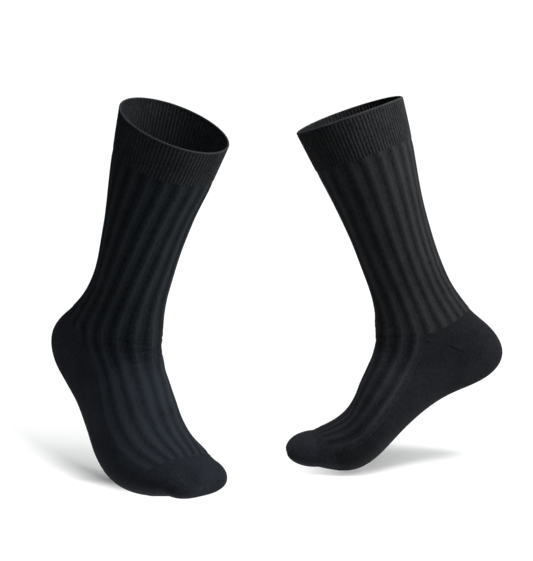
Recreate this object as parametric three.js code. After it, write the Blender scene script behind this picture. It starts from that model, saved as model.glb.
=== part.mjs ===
import * as THREE from 'three';

// A pair of ribbed mid-calf socks, filled out and empty, each on tiptoe. Millimetres, +Z up.
// Each sock is drawn in its own frame: x towards the toe, y to its left, z up, the origin on
// the floor under the ball of the foot.

// Knit
const seamGap = 0.3;        // clear space between two pieces at a seam
const innerDepth = 1.6;     // inside of the wall below the form's own surface
const legRibs = 20;         // wide ribs round the leg
const instepRibs = 9;       // those of them that run on down the instep
const ribRise = 0.5;        // top of a wide rib above the form
const grooveDrop = 0.5;     // groove between two wide ribs below the form
const grooveShare = 0.26;   // half the groove's width, as a share of the rib pitch
const cuffRibs = 90;        // fine ribs round the cuff
const cuffRibRise = 0.25;   // fine ribs stand this far above and below the form

// A wale is a column of stitches. Wales are counted round the sock from its front rib, 4 to a
// round, so that 1 is near the left side and 2 is at the back.
const ribPitch = 4 / legRibs;
const instepEdge = instepRibs * ribPitch / 2;

// Stations along the sock, counted in rows of the section table
const cuffStations = [0, 0.05, 1];  // rim, foot of the plain rolled rim, foot of the cuff
const cuffEndAt = cuffStations[2];
const legEndAt = 7.95;      // foot of the leg in front and at the sides
const heelRise = 1.25;      // how much higher the heel pocket starts at the back
const heelEndAt = 8.9;      // foot of the heel pocket at the sides
const heelReach = 2.3;      // how much further the heel pocket runs under the heel
const toeStartAt = 16.2;    // start of the toe cap at the sides and on the sole
const toeArch = 0.7;        // how much further forward the toe cap starts on top
const toeLineAt = 17.96;    // linked seam that closes the toe cap
const rimLiftEndAt = 2;     // where the rim's uneven height has died away

// Fineness of the walls
const legRows = 10;
const heelRows = 8;
const heelRowsAtSide = 4;   // rows of the instep beside the heel pocket
const soleRows = 8;         // rows of the sole, and of the instep beside it
const toeRows = 7;
const toeColumns = 40;
const curveSteps = 24;      // steps along a quarter of a section

// Form shared by both socks. frontShare: depth in front of the widest line, as a share of the
// whole depth; frontPower and backPower: 2 is an ellipse, more is squarer.
const form = {
  //         frontShare, frontPower, backPower
  rim:      [0.50, 2.0, 2.0],
  cuff:     [0.50, 2.0, 2.0],
  calf:     [0.50, 2.0, 2.0],
  shin:     [0.50, 2.0, 2.0],
  lowShin:  [0.50, 2.0, 2.1],
  ankle:    [0.49, 2.0, 2.1],
  tendon:   [0.47, 2.0, 2.2],
  heelTop:  [0.45, 2.0, 2.3],
  heelUp:   [0.41, 2.0, 2.4],
  heelBack: [0.36, 2.0, 2.4],
  heelLow:  [0.33, 2.0, 2.4],
  heelEnd:  [0.35, 2.0, 2.4],
  arch:     [0.42, 2.0, 2.4],
  midfoot:  [0.50, 2.0, 2.4],
  instep:   [0.54, 2.0, 2.4],
  ball:     [0.55, 2.0, 2.4],
  toes:     [0.54, 2.1, 2.4],
  toeCap:   [0.52, 2.1, 2.3],
};

// Each sock's own sections, in the same rows: the front and back of the section in the side
// view, its width, and how far its middle is shifted to the sock's left. ribTurn is how far the
// ribs have run round to the left there, and ribSpread how much wider they are in front.
const leftSections = {
  //         frontX, frontZ, backX, backZ, width, shift, ribTurn, ribSpread
  rim:      [63, 341.5, -39, 385, 113, -10, 0.22, 0.02],
  cuff:     [45, 308, -48.5, 345, 106, -7, 0.20, 0.03],
  calf:     [23, 273, -56.5, 300, 97, -4, 0.15, 0.05],
  shin:     [7, 235, -66, 257.5, 85, -1, 0.10, 0.12],
  lowShin:  [-4.5, 204, -76.5, 222.5, 75.5, 2, 0.04, 0.17],
  ankle:    [-11, 181, -89, 197.5, 70.5, 4, -0.02, 0.19],
  tendon:   [-12, 163, -103, 180.5, 70, 5, -0.05, 0.24],
  heelTop:  [-11.5, 150.5, -118, 165, 71, 5, -0.05, 0.25],
  heelUp:   [-12.5, 140, -140.5, 149.5, 72, 6, -0.04, 0.21],
  heelBack: [-13, 131, -152.5, 125.5, 72, 6.5, -0.04, 0.16],
  heelLow:  [-12, 123, -140.5, 101.5, 72.5, 6.5, -0.03, 0.17],
  heelEnd:  [-7.5, 115.5, -116.5, 85, 75, 3.5, -0.03, 0.16],
  arch:     [1, 108, -93, 70, 80.5, -1, -0.01, 0.12],
  midfoot:  [10, 96, -67, 46.5, 89, -5, 0, 0.06],
  instep:   [17.5, 80.5, -43, 20, 98.5, -7, 0.02, 0.02],
  ball:     [24.5, 64, -17.5, -0.5, 102, -5, 0.03, -0.02],
  toes:     [38, 52, 14, -4.5, 98, -2, 0.02, 0],
  toeCap:   [50.5, 40.5, 50, 4, 87.5, 0, 0, 0],
};
const rightSections = {
  //         frontX, frontZ, backX, backZ, width, shift, ribTurn, ribSpread
  rim:      [69.5, 351, -39.5, 389, 113, 10, -0.11, 0.08],
  cuff:     [49.5, 312.5, -49.5, 348.5, 106, 7, -0.11, 0.09],
  calf:     [27.5, 273, -57.5, 301, 97, 4, -0.11, 0.11],
  shin:     [10, 233.5, -68, 258, 85, 1, -0.14, 0.14],
  lowShin:  [-2.5, 202, -79.5, 223, 75.5, -2, -0.16, 0.17],
  ankle:    [-11, 180, -91, 196.5, 70.5, -4, -0.15, 0.18],
  tendon:   [-14, 162.5, -103.5, 178.5, 70, -5, -0.12, 0.18],
  heelTop:  [-14, 150.5, -117, 162.5, 71, -5, -0.12, 0.20],
  heelUp:   [-14.5, 140.5, -139.5, 146, 72, -6, -0.14, 0.21],
  heelBack: [-15, 131.5, -152.5, 121.5, 72, -6.5, -0.17, 0.24],
  heelLow:  [-14, 122.5, -141.5, 98.5, 72.5, -6.5, -0.16, 0.26],
  heelEnd:  [-10.5, 114, -115.5, 86.5, 75, -3.5, -0.12, 0.25],
  arch:     [-5.5, 104.5, -87.5, 77, 83, 1, -0.08, 0.22],
  midfoot:  [1.5, 90, -58, 57.5, 94, 5, -0.05, 0.16],
  instep:   [8.5, 71.5, -32, 32.5, 104, 7, -0.02, 0.10],
  ball:     [17.5, 55, -9, 6.5, 108, 5, -0.02, 0.06],
  toes:     [34.5, 45, 16.5, -3, 102, 2, -0.01, 0.01],
  toeCap:   [50.5, 37, 47, 2, 88, 0, 0, 0],
};

// Each sock's toe line and its place in the pair. rimLift: how far each side of the rim stands
// above the line from its front to its back. The pair's origin is the middle of the left
// sock's ankle, where the wearer's foot holds it up.
const socks = {
  left: {
    sections: leftSections,
    toeLine: { x: 74, z: 16.5, width: 36 },
    rimLift: { left: 0, right: 0 },
    lean: 4.8,
    yaw: -39.8,
    place: [23.3, -24.4, -193.8],
  },
  right: {
    sections: rightSections,
    toeLine: { x: 79.5, z: 17, width: 36 },
    rimLift: { left: 1.2, right: 4.5 },
    lean: 0,
    yaw: 181.5,
    place: [238.2, 92.2, -196.6],
  },
};

// A smooth curve through the rows of a table: each column is a uniform cubic B-spline.
function blendRows(rows, at) {
  const last = rows.length - 1;
  const first = Math.min(Math.max(Math.floor(at), 0), last - 1);
  const t = at - first;
  const before = first > 0 ? rows[first - 1] : rows[0].map((value, k) => 2 * value - rows[1][k]);
  const after = first + 2 <= last
    ? rows[first + 2]
    : rows[last].map((value, k) => 2 * value - rows[last - 1][k]);
  return rows[first].map((value, k) => (
    (1 - t) ** 3 * before[k]
    + (3 * t ** 3 - 6 * t ** 2 + 4) * value
    + (-3 * t ** 3 + 3 * t ** 2 + 3 * t + 1) * rows[first + 1][k]
    + t ** 3 * after[k]) / 6);
}

// One quarter of a section, from its tip on the front or back line to its widest point, shared
// out by length so that ribs stay evenly spaced.
function quarterPoint(depth, halfWidth, power, share) {
  const points = [];
  for (let i = 0; i <= curveSteps; i += 1) {
    const angle = (i / curveSteps) * Math.PI / 2;
    points.push([
      depth * Math.cos(angle) ** (2 / power),
      halfWidth * Math.sin(angle) ** (2 / power)]);
  }
  const lengths = [0];
  for (let i = 1; i <= curveSteps; i += 1) {
    const step = Math.hypot(points[i][0] - points[i - 1][0], points[i][1] - points[i - 1][1]);
    lengths.push(lengths[i - 1] + step);
  }
  const target = share * lengths[curveSteps];
  let i = 1;
  while (i < curveSteps && lengths[i] < target) i += 1;
  const t = (target - lengths[i - 1]) / (lengths[i] - lengths[i - 1]);
  return [0, 1].map((k) => points[i - 1][k] + t * (points[i][k] - points[i - 1][k]));
}

// A sock's section at a station: past the last row it closes to the toe line as a round dome.
function sectionAt(sock, at, inset) {
  const names = Object.keys(form);
  const rows = names.map((name) => [...sock.sections[name], ...form[name]]);
  const last = rows.length - 1;
  const row = blendRows(rows, Math.min(at, last));
  const [frontX, frontZ, backX, backZ, width, shift, ribTurn, ribSpread,
    frontShare, frontPower, backPower] = row;
  const depth = Math.hypot(frontX - backX, frontZ - backZ);
  const lean = [(frontX - backX) / depth, (frontZ - backZ) / depth];
  const section = {
    middle: [frontX - lean[0] * depth * frontShare, frontZ - lean[1] * depth * frontShare],
    lean,
    shift,
    ribTurn,
    ribSpread,
    front: depth * frontShare - inset,
    back: depth * (1 - frontShare) - inset,
    half: width / 2 - inset,
    frontPower,
    backPower,
  };
  if (at > last) {
    const turn = (at - last) * Math.PI / 2;
    const { x, z, width: lineWidth } = sock.toeLine;
    const tip = [x - inset, z];
    const lineHalf = lineWidth / 2 - inset;
    section.middle = section.middle.map((value, k) => value + (tip[k] - value) * Math.sin(turn));
    section.half = lineHalf + (section.half - lineHalf) * Math.cos(turn);
    section.front *= Math.cos(turn);
    section.back *= Math.cos(turn);
  }
  return section;
}

// A point of the sock. rise: height above the form's surface, negative towards the inside.
// turn: 0 is the front of the section, 1 its left side, 2 its back and 3 its right side.
function sockPoint(sock, at, wale, rise) {
  const section = sectionAt(sock, at, -rise);
  const run = wale + section.ribTurn + section.ribSpread * Math.sin(wale * Math.PI / 2);
  const turn = ((run % 4) + 4) % 4;
  const side = turn <= 2 ? 1 : -1;
  const fold = turn <= 2 ? turn : 4 - turn;
  const inFront = fold <= 1;
  const [depth, across] = inFront
    ? quarterPoint(section.front, section.half, section.frontPower, fold)
    : quarterPoint(section.back, section.half, section.backPower, 2 - fold);
  const along = inFront ? depth : -depth;
  const lift = sock.rimLift[side > 0 ? 'left' : 'right'] * across / section.half;
  return new THREE.Vector3(
    section.middle[0] + section.lean[0] * along,
    section.shift + side * across,
    section.middle[1] + section.lean[1] * along + lift * Math.max(1 - at / rimLiftEndAt, 0));
}

// Moves a station or a wale by a distance over the surface.
function stationBy(sock, at, wale, distance) {
  const step = 0.05;
  const start = sockPoint(sock, at, wale, 0);
  return at + distance * step / start.distanceTo(sockPoint(sock, at + step, wale, 0));
}

function waleBy(sock, at, wale, distance) {
  const step = 0.02;
  const start = sockPoint(sock, at, wale, 0);
  return wale + distance * step / start.distanceTo(sockPoint(sock, at, wale + step, 0));
}

// The lines between the pieces. fromFront: how many wales away from the front rib.
function fromFront(wale) {
  return Math.abs(wale - 4 * Math.round(wale / 4));
}

function behind(wale) {
  const share = Math.max(fromFront(wale) - instepEdge, 0) / (2 - instepEdge);
  return Math.sin(share * Math.PI / 2);
}

function legFoot(wale) {
  return legEndAt - heelRise * behind(wale);
}

function heelFoot(wale) {
  return heelEndAt + heelReach * behind(wale);
}

function toeTop(wale) {
  const share = Math.min(fromFront(wale) / instepEdge, 1);
  return toeStartAt + toeArch * Math.cos(share * Math.PI / 2);
}

// Columns for the wide rib: three to a rib, at the groove and at both edges of the band.
function ribColumns(from, to) {
  const columns = [];
  for (let k = 0; k < Math.round((to - from) / ribPitch); k += 1) {
    const groove = from + k * ribPitch;
    columns.push({ wale: groove, ribbed: -grooveDrop, inner: true });
    columns.push({ wale: groove + grooveShare * ribPitch, ribbed: ribRise });
    columns.push({ wale: groove + (1 - grooveShare) * ribPitch, ribbed: ribRise });
  }
  columns.push({ wale: to, ribbed: -grooveDrop, inner: true });
  return columns;
}

// Columns for plain or finely ribbed knit, with every few of them kept on the inside.
function evenColumns(count, innerEvery, rise) {
  return Array.from({ length: count + 1 }, (_, k) => ({
    wale: 4 * k / count,
    ribbed: rise * (k % 2 === 0 ? 1 : -1),
    inner: k % innerEvery === 0,
  }));
}

// Joins two edges of a wall, where the inner edge keeps every few points of the outer one.
function bridge(outer, inner, add) {
  const every = (outer.length - 1) / (inner.length - 1);
  for (let k = 0; k + 1 < inner.length; k += 1) {
    const middle = k * every + Math.floor(every / 2);
    for (let i = k * every; i < (k + 1) * every; i += 1) {
      add(outer[i], outer[i + 1], i < middle ? inner[k] : inner[k + 1]);
    }
    add(outer[middle], inner[k + 1], inner[k]);
  }
}

// A closed knitted wall from its outer and inner points. A tube repeats its first column as
// its last one; a panel also has side edges; a cap is closed at its last row.
function knitWall(outerRows, innerRows, kind) {
  const positions = [];
  const triangles = [];
  const number = (rows) => rows.map((row) => {
    const line = row.map((point) => positions.push(...point.toArray()) / 3 - 1);
    if (kind !== 'panel') line[line.length - 1] = line[0];
    return line;
  });
  const add = (a, b, c) => {
    if (a !== b && b !== c && c !== a) triangles.push(a, b, c);
  };
  const addBack = (a, b, c) => add(c, b, a);
  const skin = (rows, put) => {
    for (let i = 0; i + 1 < rows.length; i += 1) {
      for (let j = 0; j + 1 < rows[i].length; j += 1) {
        put(rows[i][j], rows[i + 1][j], rows[i + 1][j + 1]);
        put(rows[i][j], rows[i + 1][j + 1], rows[i][j + 1]);
      }
    }
  };
  const close = (line, put) => {
    const count = line.length - 1;
    for (let j = 0; j < count / 2; j += 1) {
      const top = (j - count / 4 + count) % count;
      const bottom = (count + count / 2 - top) % count;
      put(line[top], line[bottom], line[(bottom - 1 + count) % count]);
      put(line[top], line[(bottom - 1 + count) % count], line[(top + 1) % count]);
    }
  };
  const outer = number(outerRows);
  const inner = number(innerRows);
  skin(outer, add);
  skin(inner, addBack);
  bridge(outer[0], inner[0], add);
  if (kind === 'cap') {
    close(outer[outer.length - 1], add);
    close(inner[inner.length - 1], addBack);
  } else {
    bridge(outer[outer.length - 1], inner[inner.length - 1], addBack);
  }
  if (kind === 'panel') {
    const edge = (rows, atEnd) => rows.map((row) => row[atEnd ? row.length - 1 : 0]);
    bridge(edge(outer, false), edge(inner, false), addBack);
    bridge(edge(outer, true), edge(inner, true), add);
  }
  const geometry = new THREE.BufferGeometry();
  geometry.setAttribute('position', new THREE.Float32BufferAttribute(positions, 3));
  geometry.setIndex(triangles);
  geometry.computeVertexNormals();
  return geometry;
}

// One piece: rows of stations over a set of columns. stationOf gives the row's station at a
// wale; riseOf gives the outer point's height there.
function piece(sock, { rows, columns, stationOf, riseOf, kind }) {
  const seamSide = seamGap / 2;
  const place = (row, column, first, last, rise) => {
    const atSeam = { 0: seamSide, [rows]: kind === 'cap' ? 0 : -seamSide }[row] ?? 0;
    const at = stationBy(sock, stationOf(row / rows, column.wale), column.wale, atSeam);
    const sideShift = kind !== 'panel' ? 0 : (first && seamSide) || (last && -seamSide) || 0;
    return sockPoint(sock, at, waleBy(sock, at, column.wale, sideShift), rise);
  };
  const rowsOf = (chosen, riseFor) => Array.from({ length: rows + 1 }, (_, row) => (
    chosen.map((column, k) => (
      place(row, column, k === 0, k === chosen.length - 1, riseFor(row, column))))));
  const outerRows = rowsOf(columns, riseOf);
  const innerRows = rowsOf(columns.filter((column) => column.inner), () => -innerDepth);
  return knitWall(outerRows, innerRows, kind);
}

function between(from, to, share) {
  return from + (to - from) * share;
}

function cuffGeometry(sock) {
  return piece(sock, {
    kind: 'tube',
    rows: cuffStations.length - 1,
    columns: evenColumns(2 * cuffRibs, 3, cuffRibRise),
    stationOf: (share) => cuffStations[share * (cuffStations.length - 1)],
    riseOf: (row, column) => (row === 0 ? cuffRibRise : column.ribbed),
  });
}

function legGeometry(sock) {
  return piece(sock, {
    kind: 'tube',
    rows: legRows,
    columns: ribColumns(-instepEdge, 4 - instepEdge),
    stationOf: (share, wale) => between(cuffEndAt, legFoot(wale), share),
    riseOf: (row, column) => column.ribbed,
  });
}

function heelGeometry(sock) {
  return piece(sock, {
    kind: 'panel',
    rows: heelRows,
    columns: ribColumns(instepEdge, 4 - instepEdge),
    stationOf: (share, wale) => between(legFoot(wale), heelFoot(wale), share),
    riseOf: () => 0,
  });
}

// The instep's rows run beside the heel's and then beside the sole's.
function instepGeometry(sock) {
  const rows = heelRowsAtSide + soleRows;
  return piece(sock, {
    kind: 'panel',
    rows,
    columns: ribColumns(-instepEdge, instepEdge),
    stationOf: (share, wale) => {
      const row = share * rows;
      const atSide = row < heelRowsAtSide
        ? between(legEndAt, heelEndAt, row / heelRowsAtSide)
        : between(heelEndAt, toeStartAt, (row - heelRowsAtSide) / soleRows);
      const stretch = (toeTop(wale) - legEndAt) / (toeStartAt - legEndAt);
      return legEndAt + (atSide - legEndAt) * stretch;
    },
    riseOf: (row, column) => column.ribbed,
  });
}

function soleGeometry(sock) {
  return piece(sock, {
    kind: 'panel',
    rows: soleRows,
    columns: ribColumns(instepEdge, 4 - instepEdge),
    stationOf: (share, wale) => between(heelFoot(wale), toeStartAt, share),
    riseOf: () => 0,
  });
}

function toeGeometry(sock) {
  return piece(sock, {
    kind: 'cap',
    rows: toeRows,
    columns: evenColumns(toeColumns, 1, 0),
    stationOf: (share, wale) => between(toeTop(wale), toeLineAt, share),
    riseOf: () => 0,
  });
}

// Charcoal knit: the ribbed pieces catch a little more light than the plain ones.
const yarns = {
  cuff: { color: 0x1d1e22, roughness: 0.95 },
  leg: { color: 0x18191e, roughness: 0.92 },
  heel: { color: 0x15161a, roughness: 0.95 },
  instep: { color: 0x181a20, roughness: 0.92 },
  sole: { color: 0x15161a, roughness: 0.95 },
  toe: { color: 0x15161a, roughness: 0.95 },
};
const makers = {
  cuff: cuffGeometry,
  leg: legGeometry,
  heel: heelGeometry,
  instep: instepGeometry,
  sole: soleGeometry,
  toe: toeGeometry,
};

function sockGroup(name) {
  const sock = socks[name];
  const group = new THREE.Group();
  for (const [part, make] of Object.entries(makers)) {
    const yarn = new THREE.MeshStandardMaterial({ ...yarns[part], metalness: 0 });
    const mesh = new THREE.Mesh(make(sock), yarn);
    mesh.name = `${name}_${part}`;
    group.add(mesh);
  }
  const turn = Math.PI / 180;
  group.rotation.set(0, sock.lean * turn, sock.yaw * turn, 'ZYX');
  group.position.set(...sock.place);
  return group;
}

const pair = new THREE.Group();
pair.add(sockGroup('left'), sockGroup('right'));

export default pair;
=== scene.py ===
import math

import bpy
import numpy as np
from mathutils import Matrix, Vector


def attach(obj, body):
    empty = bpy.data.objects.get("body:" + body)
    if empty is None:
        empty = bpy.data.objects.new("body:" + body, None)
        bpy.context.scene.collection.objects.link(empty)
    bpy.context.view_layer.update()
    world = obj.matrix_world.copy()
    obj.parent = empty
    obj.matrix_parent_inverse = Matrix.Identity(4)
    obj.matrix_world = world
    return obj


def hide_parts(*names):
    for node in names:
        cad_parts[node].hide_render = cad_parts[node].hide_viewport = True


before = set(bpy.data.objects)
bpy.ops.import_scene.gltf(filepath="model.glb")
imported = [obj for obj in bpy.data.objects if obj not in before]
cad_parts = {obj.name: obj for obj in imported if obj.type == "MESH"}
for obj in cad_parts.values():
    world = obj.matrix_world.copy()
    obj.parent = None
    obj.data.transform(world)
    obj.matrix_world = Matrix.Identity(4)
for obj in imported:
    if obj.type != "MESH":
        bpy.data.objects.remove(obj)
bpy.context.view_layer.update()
print("frame loaded:", len(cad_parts), "nodes")

# A pair of ribbed mid-calf socks, filled out and empty, each on tiptoe.
# Tables are in millimetres in the sock's own frame: x towards the toe, y to its left, z up.
# A station counts rows of the section table. A turn goes round a section: 0 is its front, 1 its
# left side, 2 its back. A wale follows a column of stitches: 0 is the front rib, 4 is once round.

mm = 0.001

stations = {
    "rim": 0.0,
    "cuffEnd": 1.0,
    "legEnd": 7.95,       # foot of the leg in front and at the sides
    "heelRise": 1.25,     # how much higher the heel pocket starts at the back
    "heelEnd": 8.9,       # foot of the heel pocket at the sides
    "heelReach": 2.3,     # how much further it runs under the heel
    "toeStart": 16.2,
    "toeArch": 0.7,       # the toe cap starts further forward on top
    "toeLine": 17.96,
    "rimLiftEnd": 2.0,    # where the rim's uneven height has died away
}

# Knit structure shared by every piece
knit = {
    "innerDepth": 1.6,      # inside of the wall below the form's surface, mm
    "wales": 180,           # needles round the sock
    "course": 1.25,         # height of one row of stitches, mm
    "legRibs": 20,
    "instepRibs": 9,        # those of them that run on down the instep
    "ribRise": 0.5,
    "grooveDrop": 0.5,
    "grooveShare": 0.36,    # half the groove, as a share of the rib pitch
    "ribCrown": 0.20,       # the band's middle stands a little higher than its edges
    "ribShoulder": 0.8,     # under 1 for a steep start out of the groove
    "cuffRibs": 90,
    "cuffRibRise": 0.4,
    "sharpAngle": 60,       # edges over this many degrees stay sharp
}
instepEdge = 2 * knit["instepRibs"] / knit["legRibs"]     # wale at the instep's side seams

# front share of the depth, squareness in front, squareness at the back
form = {
    "rim": [.50, 2.0, 2.0], "cuff": [.50, 2.0, 2.0], "calf": [.50, 2.0, 2.0],
    "shin": [.50, 2.0, 2.0], "lowShin": [.50, 2.0, 2.1], "ankle": [.49, 2.0, 2.1],
    "tendon": [.47, 2.0, 2.2], "heelTop": [.45, 2.0, 2.3], "heelUp": [.41, 2.0, 2.4],
    "heelBack": [.36, 2.0, 2.4], "heelLow": [.33, 2.0, 2.4], "heelEnd": [.35, 2.0, 2.4],
    "arch": [.42, 2.0, 2.4], "midfoot": [.50, 2.0, 2.4], "instep": [.54, 2.0, 2.4],
    "ball": [.55, 2.0, 2.4], "toes": [.54, 2.1, 2.4], "toeCap": [.52, 2.1, 2.3],
}

# front x and z, back x and z, width, sideways shift, how far the ribs have run round to the left,
# and how much wider they are in front
leftSections = {
    "rim": [63, 341.5, -39, 385, 113, -10, 0.22, 0.02],
    "cuff": [45, 308, -48.5, 345, 106, -7, 0.20, 0.03],
    "calf": [23, 273, -56.5, 300, 97, -4, 0.15, 0.05],
    "shin": [7, 235, -66, 257.5, 85, -1, 0.10, 0.12],
    "lowShin": [-4.5, 204, -76.5, 222.5, 75.5, 2, 0.04, 0.17],
    "ankle": [-11, 181, -89, 197.5, 70.5, 4, -0.02, 0.19],
    "tendon": [-12, 163, -103, 180.5, 70, 5, -0.05, 0.24],
    "heelTop": [-11.5, 150.5, -118, 165, 71, 5, -0.05, 0.25],
    "heelUp": [-12.5, 140, -140.5, 149.5, 72, 6, -0.04, 0.21],
    "heelBack": [-13, 131, -152.5, 125.5, 72, 6.5, -0.04, 0.16],
    "heelLow": [-12, 123, -140.5, 101.5, 72.5, 6.5, -0.03, 0.17],
    "heelEnd": [-7.5, 115.5, -116.5, 85, 75, 3.5, -0.03, 0.16],
    "arch": [1, 108, -93, 70, 80.5, -1, -0.01, 0.12],
    "midfoot": [10, 96, -67, 46.5, 89, -5, 0, 0.06],
    "instep": [17.5, 80.5, -43, 20, 98.5, -7, 0.02, 0.02],
    "ball": [24.5, 64, -17.5, -0.5, 102, -5, 0.03, -0.02],
    "toes": [38, 52, 14, -4.5, 98, -2, 0.02, 0],
    "toeCap": [50.5, 40.5, 50, 4, 87.5, 0, 0, 0],
}
rightSections = {
    "rim": [69.5, 351, -39.5, 389, 113, 10, -0.11, 0.08],
    "cuff": [49.5, 312.5, -49.5, 348.5, 106, 7, -0.11, 0.09],
    "calf": [27.5, 273, -57.5, 301, 97, 4, -0.11, 0.11],
    "shin": [10, 233.5, -68, 258, 85, 1, -0.14, 0.14],
    "lowShin": [-2.5, 202, -79.5, 223, 75.5, -2, -0.16, 0.17],
    "ankle": [-11, 180, -91, 196.5, 70.5, -4, -0.15, 0.18],
    "tendon": [-14, 162.5, -103.5, 178.5, 70, -5, -0.12, 0.18],
    "heelTop": [-14, 150.5, -117, 162.5, 71, -5, -0.12, 0.20],
    "heelUp": [-14.5, 140.5, -139.5, 146, 72, -6, -0.14, 0.21],
    "heelBack": [-15, 131.5, -152.5, 121.5, 72, -6.5, -0.17, 0.24],
    "heelLow": [-14, 122.5, -141.5, 98.5, 72.5, -6.5, -0.16, 0.26],
    "heelEnd": [-10.5, 114, -115.5, 86.5, 75, -3.5, -0.12, 0.25],
    "arch": [-5.5, 104.5, -87.5, 77, 83, 1, -0.08, 0.22],
    "midfoot": [1.5, 90, -58, 57.5, 94, 5, -0.05, 0.16],
    "instep": [8.5, 71.5, -32, 32.5, 104, 7, -0.02, 0.10],
    "ball": [17.5, 55, -9, 6.5, 108, 5, -0.02, 0.06],
    "toes": [34.5, 45, 16.5, -3, 102, 2, -0.01, 0.01],
    "toeCap": [50.5, 37, 47, 2, 88, 0, 0, 0],
}
socks = {
    "left": {
        "sections": leftSections,
        "toeLine": {"x": 74, "z": 16.5, "width": 36},
        "rimLift": {"left": 0, "right": 0},     # each side of the rim above its front and back
        "lean": 4.8,
        "yaw": -39.8,
        "place": [23.3, -24.4, -193.8],
    },
    "right": {
        "sections": rightSections,
        "toeLine": {"x": 79.5, "z": 17, "width": 36},
        "rimLift": {"left": 1.2, "right": 4.5},
        "lean": 0,
        "yaw": 181.5,
        "place": [238.2, 92.2, -196.6],
    },
}

# Slow waves over the whole sock, and how the creases at the bend are shaped
wear = {
    # height (mm), radians to a station, waves to a round, share of the sock's own phase
    "waves": [(0.22, 1.3, 2, 1), (0.16, 2.3, -3, 2), (0.10, 4.1, 5, 3)],
    "phase": {"left": 0.0, "right": 1.7},
    "from": 0.3, "fadeIn": 1.5,                     # stations from the rim
    "stationLength": 27.0, "quarterLength": 70.0,   # millimetres to a station and to a quarter turn
    "slack": 0.7,                                   # under 1 for creases wider than stated
    "lipHeight": 0.45, "lipAway": 2,                # each crease has a lip on both sides
}

# Soft creases: station, turn, length round the sock, width along it, depth (mm), tilt
creases = {
    "left": [
        {"at": 6.9, "turn": 3.75, "length": 22, "width": 2.6, "depth": 0.5, "tilt": 0.10},
        {"at": 7.7, "turn": 3.55, "length": 26, "width": 2.2, "depth": 0.6, "tilt": -0.15},
        {"at": 8.6, "turn": 3.70, "length": 30, "width": 3.0, "depth": 0.6, "tilt": 0.05},
        {"at": 9.7, "turn": 3.95, "length": 24, "width": 2.8, "depth": 0.5, "tilt": 0.12},
        {"at": 7.4, "turn": 0.35, "length": 26, "width": 2.4, "depth": 0.5, "tilt": 0.10},
        {"at": 8.3, "turn": 0.55, "length": 22, "width": 2.8, "depth": 0.5, "tilt": -0.12},
        {"at": 9.3, "turn": 0.30, "length": 30, "width": 2.6, "depth": 0.5, "tilt": 0.08},
    ],
    "right": [
        {"at": 7.2, "turn": 0.30, "length": 24, "width": 2.6, "depth": 0.5, "tilt": -0.10},
        {"at": 8.1, "turn": 0.50, "length": 28, "width": 2.4, "depth": 0.55, "tilt": 0.12},
        {"at": 9.1, "turn": 0.20, "length": 26, "width": 2.8, "depth": 0.5, "tilt": -0.06},
        {"at": 7.6, "turn": 3.60, "length": 24, "width": 2.4, "depth": 0.5, "tilt": 0.10},
        {"at": 8.7, "turn": 3.75, "length": 30, "width": 2.8, "depth": 0.5, "tilt": -0.10},
    ],
}


def blendRows(rows, at):
    # a uniform cubic B-spline down each column of the table
    last = len(rows) - 1
    padded = np.vstack([2 * rows[0] - rows[1], rows, 2 * rows[-1] - rows[-2]])
    first = np.clip(np.floor(at), 0, last - 1).astype(int)
    t = (at - first)[:, None]
    before, here, after, beyond = (padded[first + k] for k in range(4))
    return (
        (1 - t) ** 3 * before
        + (3 * t**3 - 6 * t**2 + 4) * here
        + (-3 * t**3 + 3 * t**2 + 3 * t + 1) * after
        + t**3 * beyond
    ) / 6


def quarterPoints(depth, half, power, share, steps=40):
    # the point at a share of the length of each section's quarter
    angle = np.linspace(0, math.pi / 2, steps + 1)[None, :]
    along = depth[:, None] * np.cos(angle) ** (2 / power[:, None])
    across = half[:, None] * np.sin(angle) ** (2 / power[:, None])
    step = np.hypot(np.diff(along), np.diff(across))
    length = np.concatenate([np.zeros((len(depth), 1)), np.cumsum(step, axis=1)], axis=1)
    target = share * length[:, -1]
    i = np.clip((length < target[:, None]).sum(axis=1), 1, steps)
    row = np.arange(len(depth))
    t = (target - length[row, i - 1]) / np.maximum(length[row, i] - length[row, i - 1], 1e-9)
    return (
        along[row, i - 1] + t * (along[row, i] - along[row, i - 1]),
        across[row, i - 1] + t * (across[row, i] - across[row, i - 1]),
    )


def turnOf(sock, at, wale):
    # where round the section a column of stitches runs at a station
    rows = np.array([sock["sections"][name][6:] for name in form], float)
    shape = np.broadcast(at, wale).shape
    at, wale = (np.broadcast_to(x, shape).ravel().astype(float) for x in (at, wale))
    run, spread = blendRows(rows, np.minimum(at, len(rows) - 1)).T
    return (wale + run + spread * np.sin(wale * math.pi / 2)).reshape(shape)


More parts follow.
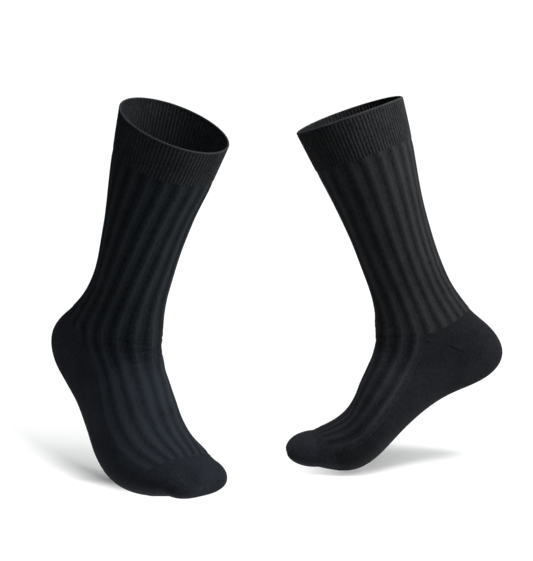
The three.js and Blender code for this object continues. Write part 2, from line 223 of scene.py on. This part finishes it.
def sockPoints(sock, at, wale, rise):
    # points of the sock in the pair's frame, in metres
    turn = turnOf(sock, at, wale)
    shape = np.broadcast(at, turn, rise).shape
    at, turn, rise = (np.broadcast_to(x, shape).ravel().astype(float) for x in (at, turn, rise))
    rows = np.array([sock["sections"][name][:6] + form[name] for name in form], float)
    last = len(rows) - 1
    row = blendRows(rows, np.minimum(at, last))
    frontX, frontZ, backX, backZ, width, shift, share, frontPower, backPower = row.T
    depth = np.hypot(frontX - backX, frontZ - backZ)
    leanX, leanZ = (frontX - backX) / depth, (frontZ - backZ) / depth
    middleX = frontX - leanX * depth * share
    middleZ = frontZ - leanZ * depth * share
    front = depth * share + rise
    back = depth * (1 - share) + rise
    half = width / 2 + rise
    dome = np.clip(at - last, 0, 1) * math.pi / 2
    line = sock["toeLine"]
    middleX = middleX + (line["x"] + rise - middleX) * np.sin(dome)
    middleZ = middleZ + (line["z"] - middleZ) * np.sin(dome)
    lineHalf = line["width"] / 2 + rise
    half = lineHalf + (half - lineHalf) * np.cos(dome)
    front, back = front * np.cos(dome), back * np.cos(dome)
    turn = turn % 4
    side = np.where(turn <= 2, 1, -1)
    fold = np.where(turn <= 2, turn, 4 - turn)
    inFront = fold <= 1
    depthHere = np.where(inFront, front, back)
    power = np.where(inFront, frontPower, backPower)
    along, across = quarterPoints(depthHere, half, power, np.where(inFront, fold, 2 - fold))
    along = np.where(inFront, along, -along)
    x = middleX + leanX * along
    y = shift + side * across
    lift = np.where(side > 0, sock["rimLift"]["left"], sock["rimLift"]["right"]) * across / half
    z = middleZ + leanZ * along + lift * np.maximum(1 - at / stations["rimLiftEnd"], 0)
    lean, yaw = math.radians(sock["lean"]), math.radians(sock["yaw"])
    x, z = x * math.cos(lean) + z * math.sin(lean), z * math.cos(lean) - x * math.sin(lean)
    x, y = x * math.cos(yaw) - y * math.sin(yaw), x * math.sin(yaw) + y * math.cos(yaw)
    points = np.stack([x, y, z], axis=1) + np.array(sock["place"])
    return (points * mm).reshape(shape + (3,))


def fromFront(wale):
    return np.abs(wale - 4 * np.round(wale / 4))


def behind(wale):
    share = np.maximum(fromFront(wale) - instepEdge, 0) / (2 - instepEdge)
    return np.sin(share * math.pi / 2)


def legFoot(wale):
    return stations["legEnd"] - stations["heelRise"] * behind(wale)


def heelFoot(wale):
    return stations["heelEnd"] + stations["heelReach"] * behind(wale)


def toeTop(wale):
    share = np.minimum(fromFront(wale) / instepEdge, 1)
    return stations["toeStart"] + stations["toeArch"] * np.cos(share * math.pi / 2)


def smooth(x):
    x = np.clip(x, 0, 1)
    return x * x * (3 - 2 * x)


def downColumns(grid):
    # millimetres from the top along each column of a grid of points
    steps = np.linalg.norm(np.diff(grid, axis=0), axis=2) / mm
    return np.vstack([np.zeros((1, grid.shape[1])), np.cumsum(steps, axis=0)])


def unevenness(name, at, turn):
    # a worn softness: slow waves over the whole sock and the creases at the bend
    angle = turn * math.pi / 2
    waves = sum(
        height * np.sin(along * at + around * angle + times * wear["phase"][name])
        for height, along, around, times in wear["waves"]
    )
    depth = waves * smooth((at - wear["from"]) / wear["fadeIn"])
    for crease in creases[name]:
        width = crease["width"]
        away = (turn - crease["turn"] + 2) % 4 - 2
        acrossIt = away * wear["quarterLength"]
        alongIt = (at - crease["at"]) * wear["stationLength"] * wear["slack"]
        alongIt = alongIt + crease["tilt"] * acrossIt
        trough = np.exp(-((alongIt / width) ** 2))
        fromLip = np.abs(alongIt) - wear["lipAway"] * width
        lips = wear["lipHeight"] * np.exp(-((fromLip / width) ** 2))
        reach = np.exp(-((acrossIt / crease["length"]) ** 4))
        depth = depth - crease["depth"] * (trough - lips) * reach
    return depth


def wallMesh(name, outer, inner, uv, kind):
    # a closed wall of cloth from two grids of points; a tube's last column is its first one
    rows, columns = outer.shape[0] - 1, outer.shape[1] - 1
    kept = columns + 1 if kind == "panel" else columns
    ids = np.arange(rows + 1)[:, None] * kept + np.arange(columns + 1)[None, :] % kept
    offset = (rows + 1) * kept
    points = np.vstack([outer[:, :kept].reshape(-1, 3), inner[:, :kept].reshape(-1, 3)])
    faces, uvs = [], []

    def quads(corners, cornerUvs, flip):
        order = [0, 3, 2, 1] if flip else [0, 1, 2, 3]
        faces.append(np.stack([corners[k] for k in order], axis=-1).reshape(-1, 4))
        uvs.append(np.stack([cornerUvs[k] for k in order], axis=-2).reshape(-1, 4, 2))

    def skin(base, flip):
        quads(
            [base[:-1, :-1], base[1:, :-1], base[1:, 1:], base[:-1, 1:]],
            [uv[:-1, :-1], uv[1:, :-1], uv[1:, 1:], uv[:-1, 1:]], flip,
        )

    def edge(line, uvLine, flip):
        start, end = line[:-1], line[1:]
        uvStart, uvEnd = uvLine[:-1], uvLine[1:]
        quads([start, end, end + offset, start + offset], [uvStart, uvEnd, uvEnd, uvStart], flip)

    def close(line, flip):
        # the toe line: the upper half of the last row meets the lower half
        top = (np.arange(columns // 2) - columns // 4) % columns
        bottom = (columns // 2 - top) % columns
        nextTop, nextBottom = (top + 1) % columns, (bottom - 1) % columns
        corners = [line[k] for k in (top, bottom, nextBottom, nextTop)]
        quads(corners, [uv[-1][k] for k in (top, top, nextTop, nextTop)], flip)

    skin(ids, False)
    skin(ids + offset, True)
    edge(ids[0], uv[0], False)
    if kind == "cap":
        close(ids[-1][:-1], False)
        close(ids[-1][:-1] + offset, True)
    else:
        edge(ids[-1], uv[-1], True)
    if kind == "panel":
        edge(ids[:, 0], uv[:, 0], True)
        edge(ids[:, -1], uv[:, -1], False)
    faces, uvs = dropFlatCorners(np.vstack(faces), np.vstack(uvs))
    mesh = bpy.data.meshes.new(name)
    mesh.from_pydata(points.tolist(), [], faces)
    layer = mesh.uv_layers.new(name="knit")
    layer.data.foreach_set("uv", np.array(uvs, np.float32).ravel())
    mesh.polygons.foreach_set("use_smooth", [True] * len(mesh.polygons))
    mesh.set_sharp_from_angle(angle=math.radians(knit["sharpAngle"]))
    mesh.update()
    piece = bpy.data.objects.new(name, mesh)
    bpy.context.scene.collection.objects.link(piece)
    return piece


def dropFlatCorners(faces, uvs):
    # a face that meets itself at the closed toe line keeps its three real corners
    tidyFaces, tidyUvs = [], []
    for face, corners in zip(faces.tolist(), uvs.tolist()):
        keep = [k for k in range(4) if face[k] not in face[:k]]
        if len(keep) >= 3:
            tidyFaces.append([face[k] for k in keep])
            tidyUvs.extend(corners[k] for k in keep)
    return tidyFaces, tidyUvs


def wideRib(wale):
    # height of the wide rib round the sock: a rounded band between two narrow grooves
    phase = (wale * knit["legRibs"] / 4 + 0.5) % 1
    edge = np.minimum(phase, 1 - phase) / knit["grooveShare"]
    climb = smooth(edge) ** knit["ribShoulder"]
    middle = np.abs(phase - 0.5) / (0.5 - knit["grooveShare"])
    crown = knit["ribCrown"] * np.clip(1 - middle**2, 0, 1)
    return -knit["grooveDrop"] + (knit["ribRise"] + knit["grooveDrop"]) * climb + crown


def fineRib(wale):
    return knit["cuffRibRise"] * np.cos(wale * knit["cuffRibs"] / 4 * 2 * math.pi)


def knitPiece(name, part, kind, rows, wales, stationOf, riseOf, innerRiseOf=None):
    # one piece of a sock: a grid of stations by wales, outside and inside
    sock = socks[name]
    share = np.linspace(0, 1, rows + 1)[:, None]
    wale = np.asarray(wales)[None, :]
    at = stationOf(share, wale)
    worn = unevenness(name, at, turnOf(sock, at, wale))
    down = downColumns(sockPoints(sock, at, wale, np.zeros_like(at)))
    outer = sockPoints(sock, at, wale, worn + riseOf(share, wale, at, down))
    innerRise = innerRiseOf(wale) if innerRiseOf else 0
    inner = sockPoints(sock, at, wale, worn - knit["innerDepth"] + innerRise)
    uv = np.stack(
        [np.broadcast_to(wale * knit["wales"] / 4, at.shape), down / knit["course"]], axis=2
    )
    return wallMesh(f"{name}_{part}_knit", outer, inner, uv, kind)


def between(start, end, share):
    return start + (end - start) * share


cuffMake = {"rows": 26, "columnsPerRib": 6, "ribsFrom": 0.01, "ribsFadeIn": 0.05}


def makeCuff(name):
    count = knit["cuffRibs"] * cuffMake["columnsPerRib"]

    def rise(share, wale, at, down):
        return fineRib(wale) * smooth((at - cuffMake["ribsFrom"]) / cuffMake["ribsFadeIn"])

    return knitPiece(
        name, "cuff", "tube", cuffMake["rows"], np.linspace(0, 4, count + 1),
        lambda share, wale: between(stations["rim"], stations["cuffEnd"], share) + 0 * wale,
        rise, fineRib,
    )


legMake = {"rows": 84, "columnsPerRib": 12, "fadeIn": 9.0, "fadeOut": 3.5}


def makeLeg(name):
    count = knit["legRibs"] * legMake["columnsPerRib"]

    def rise(share, wale, at, down):
        left = down[-1:] - down
        toHeel = np.where(behind(wale) > 0, smooth(left / legMake["fadeOut"]), 1)
        return wideRib(wale) * smooth(down / legMake["fadeIn"]) * toHeel

    return knitPiece(
        name, "leg", "tube", legMake["rows"], np.linspace(0, 4, count + 1),
        lambda share, wale: between(stations["cuffEnd"], legFoot(wale), share), rise,
    )


heelMake = {
    "rows": 44, "columns": 132,
    "goreStart": 0.5, "goreDrift": 0.14,    # share of the pocket's height, at the side and behind
    "goreDepth": 1.2, "goreWidth": 1.1,
    "lipRise": 0.6, "lipAbove": 2.4, "lipWidth": 1.6,
    "puckers": [(0.06, 0.12), (0.50, 0.22)],    # where round to the back the line shows, and how far
    "puckerRun": 62, "swayRun": 23, "sway": 2,  # puckers side by side, unevenly far apart
}


def makeHeel(name):
    def rise(share, wale, at, down):
        back = behind(wale)
        line = heelMake["goreStart"] + heelMake["goreDrift"] * back
        away = (share - line) * down[-1:]
        shown = sum(
            smooth(1 - np.abs(back - place) / reach) for place, reach in heelMake["puckers"]
        )
        dip = np.exp(-((away / heelMake["goreWidth"]) ** 2))
        fromLip = away + heelMake["lipAbove"]
        lip = heelMake["lipRise"] * np.exp(-((fromLip / heelMake["lipWidth"]) ** 2))
        sway = heelMake["sway"] * np.sin(wale * heelMake["swayRun"])
        puckers = 0.5 + 0.5 * np.cos(wale * heelMake["puckerRun"] + sway)
        return -heelMake["goreDepth"] * (dip * puckers - lip) * shown

    return knitPiece(
        name, "heel", "panel", heelMake["rows"],
        np.linspace(instepEdge, 4 - instepEdge, heelMake["columns"] + 1),
        lambda share, wale: between(legFoot(wale), heelFoot(wale), share), rise,
    )


instepMake = {"rows": 96, "columnsPerRib": 12, "fadeOut": 4.5, "edgeRise": 0.05}


def makeInstep(name):
    count = knit["instepRibs"] * instepMake["columnsPerRib"]

    def rise(share, wale, at, down):
        left = down[-1:] - down
        fromEdge = smooth((instepEdge - np.abs(wale)) / instepMake["edgeRise"])
        return wideRib(wale) * smooth(left / instepMake["fadeOut"]) * fromEdge

    return knitPiece(
        name, "instep", "panel", instepMake["rows"],
        np.linspace(-instepEdge, instepEdge, count + 1),
        lambda share, wale: between(stations["legEnd"], toeTop(wale), share), rise,
    )


soleMake = {"rows": 56, "columns": 132}


def makeSole(name):
    return knitPiece(
        name, "sole", "panel", soleMake["rows"],
        np.linspace(instepEdge, 4 - instepEdge, soleMake["columns"] + 1),
        lambda share, wale: between(heelFoot(wale), stations["toeStart"], share),
        lambda share, wale, at, down: 0 * at,
    )


toeMake = {"rows": 44, "columns": 160, "ridge": 0.35, "ridgeAt": 1.2, "ridgeWidth": 1.0}


def makeToe(name):
    def rise(share, wale, at, down):
        fromRidge = (down - toeMake["ridgeAt"]) / toeMake["ridgeWidth"]
        return toeMake["ridge"] * np.exp(-(fromRidge**2))

    return knitPiece(
        name, "toe", "cap", toeMake["rows"], np.linspace(0, 4, toeMake["columns"] + 1),
        lambda share, wale: between(toeTop(wale), stations["toeLine"], share), rise,
    )


rimMake = {
    "radius": 1.0, "above": -0.4, "columns": 720, "around": 10,
    "loops": 180, "loopRise": 0.16,
    "courses": 2.0,         # rows of stitches round the roll
    "upStep": 0.05,         # stations down to the ring that tells which way is up
}


def makeRim(name):
    # the rolled edge of the cuff, one small bump to each loop
    sock = socks[name]
    wale = np.linspace(0, 4, rimMake["columns"] + 1)[:-1]
    middle = -knit["innerDepth"] / 2
    here = sockPoints(sock, np.zeros_like(wale), wale, np.full_like(wale, middle))
    outwards = sockPoints(sock, np.zeros_like(wale), wale, np.full_like(wale, middle + 1)) - here
    below = sockPoints(
        sock, np.full_like(wale, rimMake["upStep"]), wale, np.full_like(wale, middle)
    )
    upwards = here - below
    outwards /= np.linalg.norm(outwards, axis=1)[:, None]
    upwards -= (upwards * outwards).sum(axis=1)[:, None] * outwards
    upwards /= np.linalg.norm(upwards, axis=1)[:, None]
    angle = np.arange(rimMake["around"]) / rimMake["around"] * 2 * math.pi
    bump = rimMake["loopRise"] * np.cos(wale * rimMake["loops"] / 4 * 2 * math.pi)
    radius = (rimMake["radius"] + bump)[:, None, None] * mm
    ring = (
        here[:, None, :]
        + upwards[:, None, :] * rimMake["above"] * mm
        + outwards[:, None, :] * np.cos(angle)[None, :, None] * radius
        + upwards[:, None, :] * np.sin(angle)[None, :, None] * radius
    )
    count, around = len(wale), rimMake["around"]
    i = np.arange(count)[:, None]
    j = np.arange(around)[None, :]
    a, b = i * around + j, (i + 1) % count * around + j
    c, d = (i + 1) % count * around + (j + 1) % around, i * around + (j + 1) % around
    faces = np.stack([a, d, c, b], axis=-1).reshape(-1, 4)
    mesh = bpy.data.meshes.new(f"{name}_rim_roll")
    mesh.from_pydata(ring.reshape(-1, 3).tolist(), [], faces.tolist())
    layer = mesh.uv_layers.new(name="knit")
    u0 = i * knit["wales"] / count + 0 * j
    u1 = u0 + knit["wales"] / count
    v0 = rimMake["courses"] * j / around + 0.0 * i
    v1 = v0 + rimMake["courses"] / around
    uv = np.stack([u0, v0, u0, v1, u1, v1, u1, v0], axis=-1).reshape(-1)
    layer.data.foreach_set("uv", uv.astype(np.float32))
    mesh.polygons.foreach_set("use_smooth", [True] * len(mesh.polygons))
    piece = bpy.data.objects.new(f"{name}_rim_roll", mesh)
    bpy.context.scene.collection.objects.link(piece)
    return piece


# Shader building: a wrapped socket whose operators add Math nodes
class Wire:
    def __init__(self, board, socket):
        self.board, self.socket = board, socket

    def __add__(self, other):
        return self.board.maths("ADD", self, other)

    def __radd__(self, other):
        return self.board.maths("ADD", other, self)

    def __sub__(self, other):
        return self.board.maths("SUBTRACT", self, other)

    def __rsub__(self, other):
        return self.board.maths("SUBTRACT", other, self)

    def __mul__(self, other):
        return self.board.maths("MULTIPLY", self, other)

    def __rmul__(self, other):
        return self.board.maths("MULTIPLY", other, self)

    def __truediv__(self, other):
        return self.board.maths("DIVIDE", self, other)

    def __pow__(self, other):
        return self.board.maths("POWER", self, other)

    def fract(self):
        return self.board.maths("FRACT", self)

    def distance(self):
        return self.board.maths("ABSOLUTE", self)

    def sine(self):
        return self.board.maths("SINE", self)

    def cosine(self):
        return self.board.maths("COSINE", self)

    def limited(self):
        node = self.board.maths("ADD", self, 0.0)
        node.socket.node.use_clamp = True
        return node


class Board:
    # the node board of one material, or of the world
    def __init__(self, owner):
        owner.use_nodes = True
        self.owner = owner
        self.tree = owner.node_tree
        self.shader = self.tree.nodes.get("Principled BSDF") or self.tree.nodes["Background"]

    def node(self, kind, settings=None, inputs=None):
        made = self.tree.nodes.new(kind)
        for key, value in (settings or {}).items():
            setattr(made, key, value)
        for key, value in (inputs or {}).items():
            self.feed(made.inputs[key], value)
        return made

    def feed(self, socket, value):
        if isinstance(value, Wire):
            value = value.socket
        if isinstance(value, bpy.types.NodeSocket):
            self.tree.links.new(value, socket)
        else:
            socket.default_value = value

    def maths(self, operation, *values):
        node = self.node("ShaderNodeMath", {"operation": operation}, dict(enumerate(values)))
        return Wire(self, node.outputs[0])

    def mixColours(self, factor, dark, light):
        node = self.node("ShaderNodeMix", {"data_type": "RGBA"})
        self.feed(node.inputs[0], factor)
        self.feed(node.inputs[6], dark)
        self.feed(node.inputs[7], light)
        return node.outputs[2]

    def noise(self, scale, detail, coordinates):
        node = self.node(
            "ShaderNodeTexNoise",
            {"noise_dimensions": "3D"},
            {"Vector": coordinates, "Scale": scale, "Detail": detail},
        )
        return Wire(self, node.outputs[0])


yarn = {
    "dark": (0.0016, 0.0020, 0.0025, 1),
    "roughness": 0.85, "roughnessSpread": 0.2,
    "stitchDepth": 0.0006,      # metres
    "sheen": 0.05,
    "sheenRoughness": 0.45,
    "sheenTint": (0.55, 0.60, 0.68, 1),
    "specular": 0.03,
}


def knitFinish(name, look):
    board = Board(bpy.data.materials.new(name))
    uv = board.node("ShaderNodeUVMap", {"uv_map": "knit"}).outputs[0]
    parts = board.node("ShaderNodeSeparateXYZ", inputs={0: uv})
    wale, course = Wire(board, parts.outputs[0]), Wire(board, parts.outputs[1])
    place = board.node("ShaderNodeTexCoord").outputs["Object"]
    slow = board.noise(look["patchScale"], look["patchDetail"], place)
    grain = board.noise(look["grainScale"], look["grainDetail"], place)
    fibre = board.noise(look["fibreScale"], look["fibreDetail"], place)
    fromMiddle = (wale.fract() - 0.5).distance()
    column = (fromMiddle * math.pi).cosine()
    row = course + fromMiddle * look["slant"] + (slow - 0.5) * look["wander"]
    leg = (row.fract() * math.pi).sine()
    stitch = column * look["waleHeight"] + leg * (1 - look["waleHeight"])
    height = stitch + (fibre - 0.5) * look["fuzz"]
    # painted shade: the tone is darker in the gaps between the stitches
    tone = look["tone"] + stitch * look["stitchGapShade"]
    tone = tone + (fibre - 0.5) * look["fibreTone"] + (slow - 0.5) * look["patchTone"]
    # painted shade in each rib's groove and a painted highlight along its ridge
    if look["ribWales"]:
        across = (wale / look["ribWales"] + 0.5).fract()
        ridge = 1 - ((across - 0.5).distance() * 2) ** look["ridgeWidth"]
        down = (course / look["blendCourses"]).limited()
        groove = look["grooveShade"] + (look["laterGrooveShade"] - look["grooveShade"]) * down
        share = groove + (look["ridgeHighlight"] - groove) * ridge
        # painted light and shade: the whole rib grows lighter or darker down the piece over blendCourses
        # rows
        share = share * (1 + (look["laterShading"] - 1) * down)
        if look["edgeWale"]:
            inside = ((look["edgeWale"] - wale.distance()) / look["edgeFade"]).limited()
            share = share * inside + look["edgeTone"] * (1 - inside)
        tone = tone * share
    tone = (tone + (grain - 0.5) * look["grainTone"]).limited()
    roughness = yarn["roughness"] + (fibre - 0.5) * yarn["roughnessSpread"]
    bump = board.node(
        "ShaderNodeBump", None,
        {"Strength": look["bump"], "Distance": yarn["stitchDepth"], "Height": height},
    )
    sockets = board.shader.inputs
    board.feed(sockets["Base Color"], board.mixColours(tone, yarn["dark"], look["light"]))
    board.feed(sockets["Roughness"], roughness)
    board.feed(sockets["Normal"], bump.outputs[0])
    sockets["Specular IOR Level"].default_value = yarn["specular"]
    sockets["Sheen Weight"].default_value = yarn["sheen"]
    sockets["Sheen Roughness"].default_value = yarn["sheenRoughness"]
    sockets["Sheen Tint"].default_value = yarn["sheenTint"]
    return board.owner


# What all knits share. The noises are slow patches, grain and fibres. The stitch is a slanted leg
# on both sides of its column, and its tone is darker between the columns and the rows, a painted
# shade in the gaps between the stitches.
base = {
    "patchScale": 55.0, "patchDetail": 3.0, "patchTone": 0.6,
    "grainScale": 420.0, "grainDetail": 2.0, "grainTone": 0.9,
    "fibreScale": 1400.0, "fibreDetail": 4.0, "fibreTone": 0.5, "fuzz": 0.5,
    "wander": 0.25, "slant": 1.1, "waleHeight": 0.55,
    "tone": 0.30, "stitchGapShade": 0.45, "bump": 0.8,
    "ribWales": 0, "edgeWale": 0,
    "blendCourses": 24, "laterShading": 1,
}
# Ribbed looks: columns of stitches to a rib, the painted shade in its groove, at the top and after
# blendCourses rows, the painted highlight on its ridge, and how wide the ridge reads. The instep's
# ribs end at a plain edge.
looks = {
    "cuff": {
        **base, "ribWales": 2, "grooveShade": 0.40, "laterGrooveShade": 0.40,
        "ridgeHighlight": 1.0, "ridgeWidth": 1.2,
    },
    "leg": {**base, "ribWales": 9, "stitchGapShade": 0.6},
    "instep": {
        **base, "ribWales": 9, "grooveShade": 0.24, "laterGrooveShade": 0.5, "ridgeHighlight": 2.1,
        "ridgeWidth": 0.32, "stitchGapShade": 0.6,
        "edgeWale": instepEdge * knit["wales"] / 4, "edgeFade": 1.5, "edgeTone": 0.9,
    },
    "plain": {**base, "stitchGapShade": 0.35},
    "toe": {**base, "stitchGapShade": 0.35},
    "rim": {**base, "stitchGapShade": 0.7},
}
# Each sock's light end of the yarn's tone and its ribs, per part, with light and shade painted in:
# painted shade makes the left sock bluer and its leg darker, and the right sock's heel and sole darker
# than its toe; painted light makes the left instep grow lighter down the foot
litAndShadedLooks = {
    "left": {
        "cuff": {"light": (0.0305, 0.0335, 0.0365, 1)},
        "leg": {
            "light": (0.0174, 0.0218, 0.0262, 1), "grooveShade": 0.30, "laterGrooveShade": 0.26,
            "ridgeHighlight": 2.1, "ridgeWidth": 0.36,
        },
        "instep": {
            "light": (0.0158, 0.0194, 0.0252, 1), "grooveShade": 0.28,
            "ridgeWidth": 0.26, "laterShading": 1.30,
        },
        "plain": {"light": (0.0166, 0.0200, 0.0260, 1)},
        "toe": {"light": (0.0168, 0.0198, 0.0266, 1)},
        "rim": {"light": (0.0340, 0.0360, 0.0400, 1)},
    },
    "right": {
        "cuff": {"light": (0.0335, 0.0340, 0.0352, 1)},
        "leg": {
            "light": (0.0238, 0.0247, 0.0262, 1), "grooveShade": 0.42, "laterGrooveShade": 0.42,
            "ridgeHighlight": 2.0, "ridgeWidth": 0.36,
        },
        "instep": {"light": (0.0208, 0.0222, 0.0258, 1), "laterShading": 0.92},
        "plain": {"light": (0.0138, 0.0147, 0.0170, 1)},
        "toe": {"light": (0.0210, 0.0236, 0.0300, 1)},
        "rim": {"light": (0.0480, 0.0490, 0.0520, 1)},
    },
}
finishes = {
    (name, finish): knitFinish(f"{name}_{finish}_knit", {**look, **litAndShadedLooks[name][finish]})
    for name in socks
    for finish, look in looks.items()
}

# Part, maker, finish, the record's slot, flat width and length of the cut (m)
parts = [
    {"part": "cuff", "make": makeCuff, "finish": "cuff", "slot": "cuff_rib", "flat": (0.270, 0.044)},
    {"part": "leg", "make": makeLeg, "finish": "leg", "slot": "wide_rib", "flat": (0.230, 0.185)},
    {"part": "heel", "make": makeHeel, "finish": "plain", "slot": "plain_knit", "flat": (0.1265, 0.090)},
    {"part": "instep", "make": makeInstep, "finish": "instep", "slot": "wide_rib", "flat": (0.1035, 0.135)},
    {"part": "sole", "make": makeSole, "finish": "plain", "slot": "plain_knit", "flat": (0.1265, 0.165)},
    {"part": "toe", "make": makeToe, "finish": "toe", "slot": "plain_knit", "flat": (0.230, 0.036)},
]
for name in socks:
    for row in parts:
        piece = row["make"](name)
        piece.data.materials.append(finishes[name, row["finish"]])
        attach(piece, "root")
        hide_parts(f"{name}_{row['part']}")
        if row["part"] == "cuff":
            rim = makeRim(name)
            rim.data.materials.append(finishes[name, "rim"])
            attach(rim, "root")
        area = sum(p.area for p in piece.data.polygons) / 2
        print(f"{piece.name}: {len(piece.data.polygons)} faces, {area * 1e4:.0f} cm2 of cloth")

# The white sweep that the socks stand on
studio = {
    "floorLevel": -0.1978,
    "middle": 0.14, "width": 1.8, "near": -0.42,
    "bend": 2.2, "radius": 1.2, "bendSteps": 12, "top": 3.5,
    "floorColour": (0.97, 0.97, 0.97, 1), "floorRoughness": 0.9,
    # the paper glows by itself behind the pair, in a strip down the middle and in front of three
    # lines (slope, place), so that only the two patches under the heels take a shadow
    "glowStrength": 1.05, "glowDepth": 0.08,
    "backGlow": 0.18, "backDepth": 0.28, "strip": (-0.01, 0.25),
    "frontLines": [(-2.15, -0.029), (1.0, -0.164), (0.0, 0.03)],
    "darkSide": (0.01, 0.02, 0.025, 1),     # the room's light from the left and from the right
    "lightSide": (1.00, 1.00, 0.99, 1),
    "sideFall": 3.0,
    "cameraPlace": (0.1377, -1.9078, 0.2167),
    "cameraPitch": 6.16,     # degrees below level
    "focalPixels": 1920, "framePixels": 533, "sensorWidth": 36.0, "seesTo": 50,
    "lampAim": (0.14, 0.0, 0.0),
}


def makeSweep():
    profile = [(studio["near"], 0.0), (studio["bend"], 0.0)]
    for k in range(1, studio["bendSteps"] + 1):
        angle = k / studio["bendSteps"] * math.pi / 2
        profile.append((
            studio["bend"] + studio["radius"] * math.sin(angle),
            studio["radius"] * (1 - math.cos(angle)),
        ))
    profile.append((studio["bend"] + studio["radius"], studio["top"]))
    edges = (studio["middle"] - studio["width"] / 2, studio["middle"] + studio["width"] / 2)
    points = [(x, y, z + studio["floorLevel"]) for y, z in profile for x in edges]
    faces = [(2 * k, 2 * k + 1, 2 * k + 3, 2 * k + 2) for k in range(len(profile) - 1)]
    mesh = bpy.data.meshes.new("sweep")
    mesh.from_pydata(points, [], faces)
    mesh.polygons.foreach_set("use_smooth", [True] * len(mesh.polygons))
    sweep = bpy.data.objects.new("sweep", mesh)
    bpy.context.scene.collection.objects.link(sweep)
    board = Board(bpy.data.materials.new("sweepPaper"))
    place = board.node("ShaderNodeTexCoord").outputs["Object"]
    parts = board.node("ShaderNodeSeparateXYZ", inputs={0: place})
    across, back = Wire(board, parts.outputs[0]), Wire(board, parts.outputs[1])
    depth = studio["glowDepth"]
    start, end = studio["strip"]
    share = ((across - start) / depth).limited() * ((end - across) / depth).limited()
    share = share + ((back - studio["backGlow"]) / studio["backDepth"]).limited()
    for slope, start in studio["frontLines"]:
        share = share + ((across * slope + start - back) / depth).limited()
    share = share.limited()
    black, white = (0, 0, 0, 1), (1, 1, 1, 1)
    sockets = board.shader.inputs
    board.feed(sockets["Base Color"], board.mixColours(share, studio["floorColour"], black))
    board.feed(sockets["Emission Color"], board.mixColours(share, black, white))
    sockets["Emission Strength"].default_value = studio["glowStrength"]
    sockets["Roughness"].default_value = studio["floorRoughness"]
    sweep.data.materials.append(board.owner)


lamps = [
    {"name": "topSoftbox", "place": (0.7, -0.8, 1.7), "size": 0.8, "power": 40},
    {"name": "rightSoftbox", "place": (1.15, -0.30, 0.50), "size": 0.8, "power": 12},
]


def makeStudio():
    bpy.context.scene.view_settings.view_transform = "Standard"
    world = bpy.data.worlds.new("softWhite")
    bpy.context.scene.world = world
    board = Board(world)
    direction = board.node("ShaderNodeTexCoord").outputs["Generated"]
    sideways = Wire(board, board.node("ShaderNodeSeparateXYZ", inputs={0: direction}).outputs[0])
    share = (sideways * 0.5 + 0.5).limited() ** studio["sideFall"]
    roomLight = board.mixColours(share, studio["darkSide"], studio["lightSide"])
    board.feed(board.shader.inputs[0], roomLight)
    aim = Vector(studio["lampAim"])
    for row in lamps:
        light = bpy.data.lights.new(row["name"], "AREA")
        light.size = row["size"]
        light.energy = row["power"]
        lamp = bpy.data.objects.new(row["name"], light)
        lamp.location = row["place"]
        lamp.rotation_euler = (aim - Vector(row["place"])).to_track_quat("-Z", "Y").to_euler()
        bpy.context.scene.collection.objects.link(lamp)
    camera = bpy.data.cameras.new("camera")
    camera.sensor_fit = "HORIZONTAL"
    camera.sensor_width = studio["sensorWidth"]
    camera.lens = studio["focalPixels"] / studio["framePixels"] * studio["sensorWidth"]
    camera.clip_end = studio["seesTo"]
    eye = bpy.data.objects.new("camera", camera)
    eye.location = studio["cameraPlace"]
    eye.rotation_euler = (math.radians(90 - studio["cameraPitch"]), 0, 0)
    bpy.context.scene.collection.objects.link(eye)
    bpy.context.scene.camera = eye


makeSweep()
makeStudio()
print("studio set")
